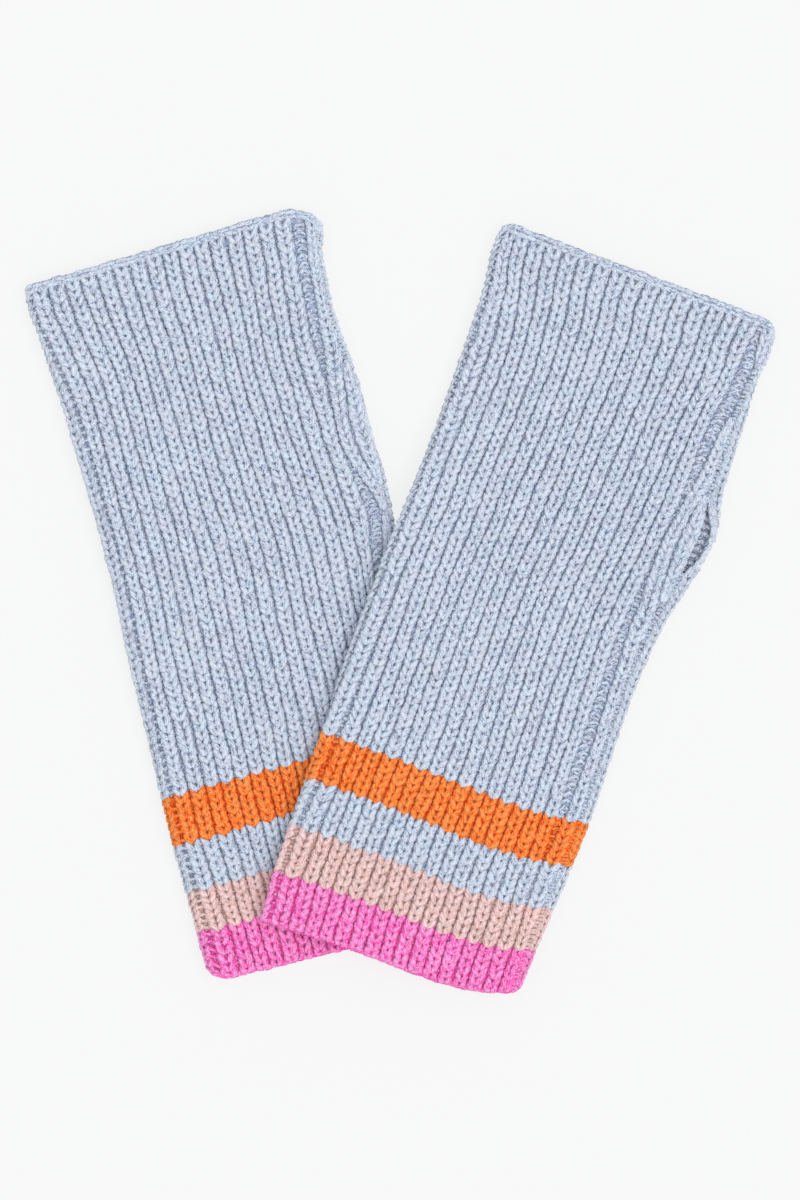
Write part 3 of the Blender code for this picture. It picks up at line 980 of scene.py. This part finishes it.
def wall_spots(rows, around):
    """Where the corners of those quads lie in the texture."""
    row, side = wall_cells(rows, around)
    starts = np.linspace(GROUND_END_ROOM, 1 - GROUND_END_ROOM, rows)
    walls = rectangles(side / around, (side + 1) / around, starts[row], starts[row + 1])
    columns = around // 2
    place = np.arange(columns - 1)
    ends = [
        rectangles(place / columns, (place + 1 - END_INSET) / columns, *band)
        for band in end_bands(GROUND_END_ROOM)
    ]
    return np.concatenate([walls, *ends])


def ground_mesh(warmer, course, path, height):
    """A thin closed wall under the stitches, open along the seam."""
    outer, out = surface(warmer, course[:, None], path, height)
    inner, _ = surface(warmer, course[:, None], path, GROUND_INNER)
    points = np.concatenate([outer, inner[:, ::-1]], axis=1)
    rows, around, _ = points.shape
    mesh = quad_mesh(f"{warmer.node}_ground", points.reshape(-1, 3), wall_faces(rows, around))

    heights = np.concatenate([height, np.full_like(height, GROUND_INNER)], axis=1)
    # Painted shade where the ground cloth lies deep in the knitting, fullest on its inner face
    set_point_values(mesh, "depth", "FLOAT", np.clip(painted_shade_by_height(heights), 0.0, 1.0))
    set_point_values(mesh, "tint", "FLOAT", np.full(heights.shape, GROUND_TINT))
    out = np.concatenate([out, -out[:, ::-1]], axis=1)
    set_point_values(mesh, "nap", "FLOAT_VECTOR", nap_of(out))
    along = np.broadcast_to(course[:, None] * COURSE_HEIGHT, heights.shape)
    across = np.concatenate([path, path[:, ::-1]], axis=1)
    spun = np.stack([along, across, np.zeros_like(across)], -1)
    set_point_values(mesh, "yarn_space", "FLOAT_VECTOR", spun)
    set_spots(mesh, wall_spots(rows, around))
    return mesh


class Wiring:
    """A material's nodes and the links between them."""

    def __init__(self, material):
        material.use_nodes = True
        self.tree = material.node_tree

    def feed(self, node, inputs):
        """Give each named or numbered input a value, or link it to another node's output."""
        for name, value in inputs.items():
            if isinstance(value, bpy.types.NodeSocket):
                self.tree.links.new(value, node.inputs[name])
            else:
                node.inputs[name].default_value = value

    def node(self, kind, inputs=None, **settings):
        """A new node with its settings and inputs."""
        made = self.tree.nodes.new(kind)
        for name, value in settings.items():
            setattr(made, name, value)
        self.feed(made, inputs or {})
        return made

    def point_values(self, name, output):
        """The values that the mesh's points have under a name."""
        return self.node("ShaderNodeAttribute", attribute_name=name).outputs[output]

    def noise(self, vector, noise):
        """A noise at the places that a vector gives."""
        inputs = {"Vector": vector, "Scale": noise.scale, "Detail": noise.detail}
        return self.node("ShaderNodeTexNoise", inputs).outputs["Fac"]

    def vector_math(self, operation, *inputs):
        """The outcome of one step of vector arithmetic."""
        made = self.node("ShaderNodeVectorMath", dict(enumerate(inputs)), operation=operation)
        return made.outputs["Vector"]

    def moved(self, rest, value, weight):
        """rest + (value - 0.5) * weight"""
        centred = self.node("ShaderNodeMath", {0: value, 1: 0.5}, operation="SUBTRACT")
        inputs = {0: centred.outputs[0], 1: weight, 2: rest}
        return self.node("ShaderNodeMath", inputs, operation="MULTIPLY_ADD").outputs[0]

    def ramp(self, value, low, high):
        """A node that turns a value into colours, from those at the low stop to the high one."""
        made = self.node("ShaderNodeValToRGB", {"Fac": value})
        for element, (position, colour) in zip(made.color_ramp.elements, (low, high)):
            element.position = position
            element.color = (*colour, 1.0)
        return made


def wool_colour(wiring, yarn, fibres):
    """Lighter and darker fibres, flecks, patches, strand tints, painted shade and light, and
    heather.
    """
    place = wiring.node("ShaderNodeTexCoord").outputs["Object"]
    tone = wiring.moved(MIDDLE_TONE, fibres, WEIGHTS.fibres)
    tone = wiring.moved(tone, wiring.noise(place, FLECKS), WEIGHTS.flecks)
    tone = wiring.moved(tone, wiring.noise(place, PATCHES), WEIGHTS.patches)
    tone = wiring.moved(tone, wiring.point_values("tint", "Fac"), WEIGHTS.tint)
    # Painted shade in the depths, and painted light at the folds
    tone = wiring.moved(tone, wiring.point_values("depth", "Fac"), WEIGHTS.depth)
    ramp = wiring.ramp(tone, (SHADE_AT, yarn.shade), (LIGHT_AT, yarn.light))
    ramp.color_ramp.elements.new(MIDDLE_AT).color = (*yarn.middle, 1.0)
    heather = wiring.ramp(
        wiring.noise(place, HEATHER), (HEATHER_FROM, HEATHER_COOL), (HEATHER_TO, HEATHER_WARM)
    )
    return wiring.vector_math("MULTIPLY", ramp.outputs["Color"], heather.outputs["Color"])


def wool_normal(wiring, yarn, fibres):
    """The yarn's roundness, evened out by its nap and roughened by its fibres."""
    nap = wiring.point_values("nap", "Vector")
    normal = wiring.node("ShaderNodeNewGeometry").outputs["Normal"]
    leaning = wiring.vector_math("MULTIPLY_ADD", nap, (yarn.nap, yarn.nap, yarn.nap), normal)
    bump = wiring.node(
        "ShaderNodeBump",
        {
            "Normal": wiring.vector_math("NORMALIZE", leaning),
            "Strength": 1.0,
            "Distance": FIBRE_BUMP * MM,
            "Height": fibres,
        },
    )
    return bump.outputs["Normal"]


def wool_material(yarn):
    """Heathered wool with a soft sheen, and painted shade and light in its colour."""
    material = bpy.data.materials.new(yarn.slot)
    wiring = Wiring(material)
    stretch = wiring.node(
        "ShaderNodeMapping",
        {"Vector": wiring.point_values("yarn_space", "Vector"), "Scale": FIBRE_STRETCH},
    )
    fibres = wiring.noise(stretch.outputs["Vector"], FIBRES)
    wiring.feed(
        material.node_tree.nodes["Principled BSDF"],
        {
            "Base Color": wool_colour(wiring, yarn, fibres),
            "Normal": wool_normal(wiring, yarn, fibres),
            "Roughness": WOOL_ROUGHNESS,
            "Specular IOR Level": WOOL_SPECULAR,
            "Sheen Weight": SHEEN_WEIGHT,
            "Sheen Roughness": SHEEN_ROUGHNESS,
            "Sheen Tint": (*yarn.light, 1.0),
        },
    )
    return material


def floor_material():
    """A pale surface that glows evenly."""
    material = bpy.data.materials.new("floor")
    Wiring(material).feed(
        material.node_tree.nodes["Principled BSDF"],
        {
            "Base Color": (FLOOR_GREY, FLOOR_GREY, FLOOR_GREY, 1.0),
            "Roughness": FLOOR_ROUGHNESS,
            "Emission Color": (1.0, 1.0, 1.0, 1.0),
            "Emission Strength": FLOOR_GLOW,
        },
    )
    return material


def make_floor():
    """A large square of floor just under the pair."""
    mesh = bpy.data.meshes.new("floor")
    corners = [(-1, -1), (1, -1), (1, 1), (-1, 1)]
    mesh.from_pydata([(x * FLOOR_REACH, y * FLOOR_REACH, 0) for x, y in corners], [], [range(4)])
    mesh.materials.append(floor_material())
    floor = bpy.data.objects.new("floor", mesh)
    bpy.context.scene.collection.objects.link(floor)
    floor.location.z = -FLOOR_DROP


def make_light():
    """The studio's light from all round and the soft lamp."""
    scene = bpy.context.scene
    scene.view_settings.view_transform = "Standard"
    world = bpy.data.worlds.new("studio")
    scene.world = world
    world.use_nodes = True
    background = world.node_tree.nodes["Background"]
    background.inputs["Color"].default_value = (*STUDIO_COLOUR, 1.0)
    background.inputs["Strength"].default_value = STUDIO_STRENGTH
    light = bpy.data.lights.new("softbox", "SUN")
    light.angle = LAMP_SPREAD
    light.color = LAMP_COLOUR
    light.energy = LAMP_STRENGTH
    lamp = bpy.data.objects.new("softbox", light)
    lamp.rotation_euler = LAMP_LEAN
    scene.collection.objects.link(lamp)


def make_camera():
    """A camera that looks straight down; the taller side of its picture is VIEW_HEIGHT."""
    camera = bpy.data.cameras.new("camera")
    camera.sensor_fit = "AUTO"
    camera.lens = camera.sensor_width * CAMERA_DISTANCE / VIEW_HEIGHT
    camera.dof.use_dof = False
    viewer = bpy.data.objects.new("camera", camera)
    x, y = -PAIR_MIDDLE_X, VIEW_MIDDLE_Y - PAIR_MIDDLE_Y
    viewer.location = (x * MM, y * MM, CAMERA_DISTANCE * MM)
    bpy.context.scene.collection.objects.link(viewer)
    bpy.context.scene.camera = viewer


def add_piece(mesh, yarn, wools):
    """An object of one yarn that rides on the pair's body."""
    piece = bpy.data.objects.new(mesh.name, mesh)
    bpy.context.scene.collection.objects.link(piece)
    mesh.materials.append(wools[yarn])
    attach(piece, BODY)
    return piece


def yarn_at(course):
    """The yarn that a course is knitted in."""
    return next((stripe.yarn for stripe in STRIPES if course < stripe.end), PALE_BLUE)


def make_ground(warmer, wobble, wools):
    """The ground cloth, striped like the stitches on it."""
    course, path, height = ground_grid(warmer, wobble)
    mesh = ground_mesh(warmer, course, path, height)
    piece = add_piece(mesh, PALE_BLUE, wools)
    for yarn in YARNS[1:]:
        mesh.materials.append(wools[yarn])
    middles = (course[:-1] + course[1:]) / 2
    stripes = [YARNS.index(yarn_at(middle)) for middle in middles]
    around = 2 * path.shape[1]
    ends = path.shape[1] - 1
    index = np.concatenate(
        [np.repeat(stripes, around), np.full(ends, stripes[0]), np.full(ends, stripes[-1])]
    )
    mesh.polygons.foreach_set("material_index", index.astype(np.int32))
    return piece


def make_warmer(warmer, wools):
    """The ground cloth of one warmer and all the stitches on it."""
    rng = np.random.default_rng(warmer.seed)
    wobble = make_wobble(rng)
    ground = make_ground(warmer, wobble, wools)
    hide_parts(warmer.node)

    def add(part, yarn, strands, sides):
        mesh = strands_mesh(f"{warmer.node}_{part}", strands, sides, rng)
        add_piece(mesh, yarn, wools)

    for stripe in STRIPES:
        front = knit_legs(warmer, front_purls, stripe, LEG, wobble, rng)
        add(f"front_{stripe.name}", stripe.yarn, front, FRONT_SIDES)
        back = knit_legs(warmer, back_purls, stripe, BACK_LEG, wobble, rng)
        add(f"back_{stripe.name}", stripe.yarn, back, BACK_SIDES)
        opened = open_purls(warmer, stripe, wobble, rng)
        sunk = sunk_purls(warmer, stripe, wobble, rng)
        if len(opened.heights):
            add(f"open_purls_{stripe.name}", stripe.yarn, opened, FRONT_SIDES)
        add(f"sunk_purls_{stripe.name}", stripe.yarn, sunk, BACK_SIDES)
        seam = seam_stitches(warmer, stripe, wobble, rng)
        add(f"seam_{stripe.name}", stripe.yarn, seam, BACK_SIDES)
    add("rim", PALE_BLUE, rim_stitches(warmer, rng), FRONT_SIDES)
    hem = edge_stitches(warmer, HEM_ROW, CAST_ON_PITCH, CAST_ON, rng)
    add("cast_on", HOT_PINK, hem, FRONT_SIDES)
    add("slit_edges", PALE_BLUE, slit_edges(warmer, wobble, rng), FRONT_SIDES)
    add("slit_lining", PALE_BLUE, slit_lining(warmer, wobble, rng), BACK_SIDES)


def main():
    """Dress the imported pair, light it and look at it."""
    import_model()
    wools = {yarn: wool_material(yarn) for yarn in YARNS}
    make_warmer(LOWER_WARMER, wools)
    make_warmer(UPPER_WARMER, wools)
    make_floor()
    make_light()
    make_camera()


main()
